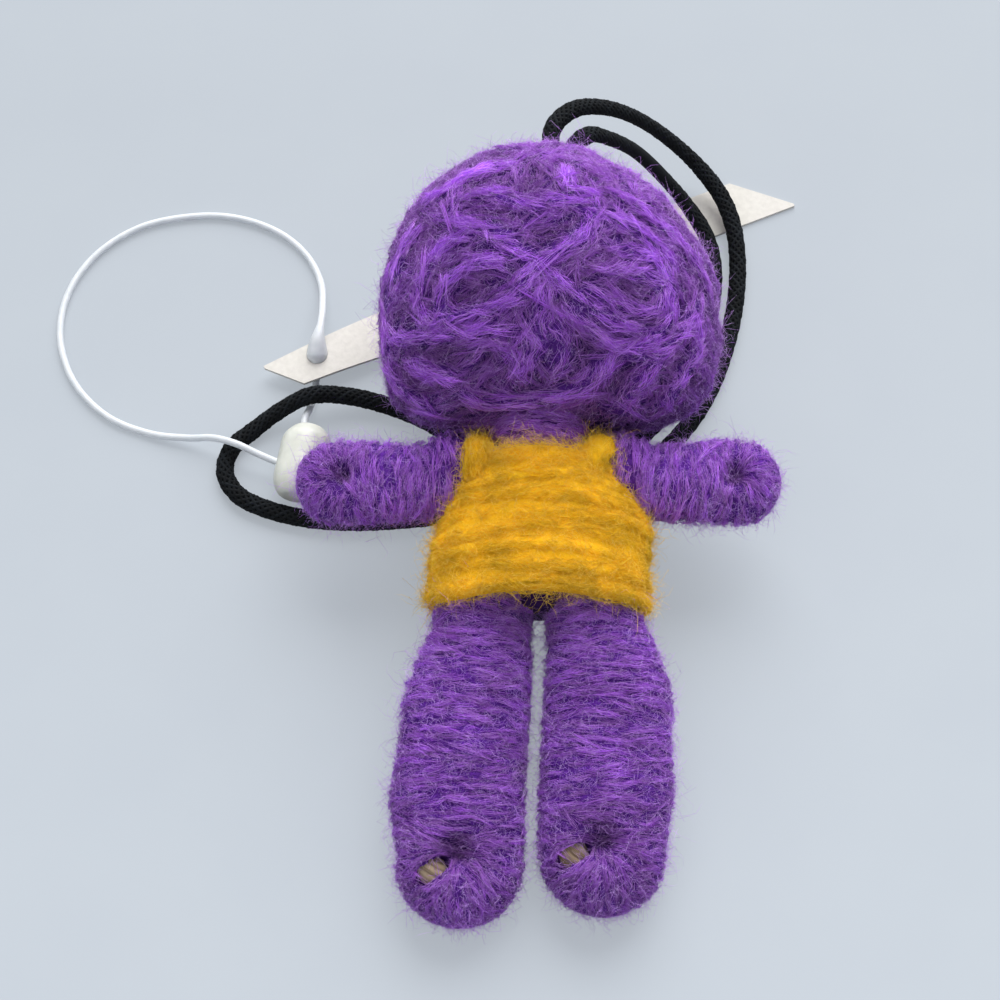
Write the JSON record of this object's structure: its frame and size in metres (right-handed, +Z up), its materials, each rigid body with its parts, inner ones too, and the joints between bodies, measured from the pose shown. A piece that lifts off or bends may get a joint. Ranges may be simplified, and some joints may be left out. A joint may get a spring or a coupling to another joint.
{
  "type": "wound wool doll",
  "caption": "Small string doll wound in fluffy purple wool with a yellow yarn dress, lying on its front with its black hanging cord and a blank hang tag.",
  "frame": {"origin": "middle of the doll's outline on the table, without the cord and tag", "axes": "+Y from the feet to the head, +Z up out of the doll's back, +X to its right hand side as seen from the back"},
  "size_m": [0.0852, 0.0941, 0.0332],
  "materials": {
    "purple_wool": "fluffy wound wool",
    "yellow_wool": "soft wound wool yarn",
    "twine": "twisted natural fibre",
    "wadding": "plain wadding ball",
    "black_cord": "fine matte braid",
    "black_bead": "polished",
    "tag_paper": "smooth uncoated card",
    "clear_plastic": "clear moulded filament",
    "milky_plastic": "milky translucent moulding"
  },
  "bodies": {
    "torso": {"torso_padding": "purple_wool", "spine_twine": "twine", "shoulder_twine": "twine", "neck_winding": "purple_wool", "dress_winding": "yellow_wool", "left_strap": "yellow_wool", "right_strap": "yellow_wool"},
    "head": {"head_winding": "purple_wool", "head_core": "wadding", "neck_twine": "twine", "cord_knot": "black_cord", "left_eye": "black_bead", "right_eye": "black_bead", "mouth_thread": "black_cord", "hanging_cord": "black_cord", "tag_card": "tag_paper", "tag_loop": "clear_plastic", "tag_lock": "milky_plastic"},
    "left_arm": {"left_arm_twine": "twine", "left_arm_winding": "purple_wool"},
    "right_arm": {"right_arm_twine": "twine", "right_arm_winding": "purple_wool"},
    "left_leg": {"left_leg_twine": "twine", "left_leg_winding": "purple_wool"},
    "right_leg": {"right_leg_twine": "twine", "right_leg_winding": "purple_wool"}
  },
  "joints": [
    {"name": "neck_tip", "type": "hinge", "parent": "torso", "child": "head", "pos_m": [0, 0.00976, 0.01326], "axis": [0, 0, 1], "range_deg": [-8, 8]},
    {"name": "left_shoulder", "type": "hinge", "parent": "torso", "child": "left_arm", "pos_m": [-0.01301, 0.00397, 0.01216], "axis": [0, 0, 1], "range_deg": [-25, 35]},
    {"name": "right_shoulder", "type": "hinge", "parent": "torso", "child": "right_arm", "pos_m": [0.01301, 0.00397, 0.01216], "axis": [0, 0, 1], "range_deg": [-35, 25]},
    {"name": "left_hip", "type": "hinge", "parent": "torso", "child": "left_leg", "pos_m": [-0.0053, -0.01118, 0.00929], "axis": [0, 0, 1], "range_deg": [-22, 1]},
    {"name": "right_hip", "type": "hinge", "parent": "torso", "child": "right_leg", "pos_m": [0.0053, -0.01118, 0.00929], "axis": [0, 0, 1], "range_deg": [-1, 22]}
  ]
}
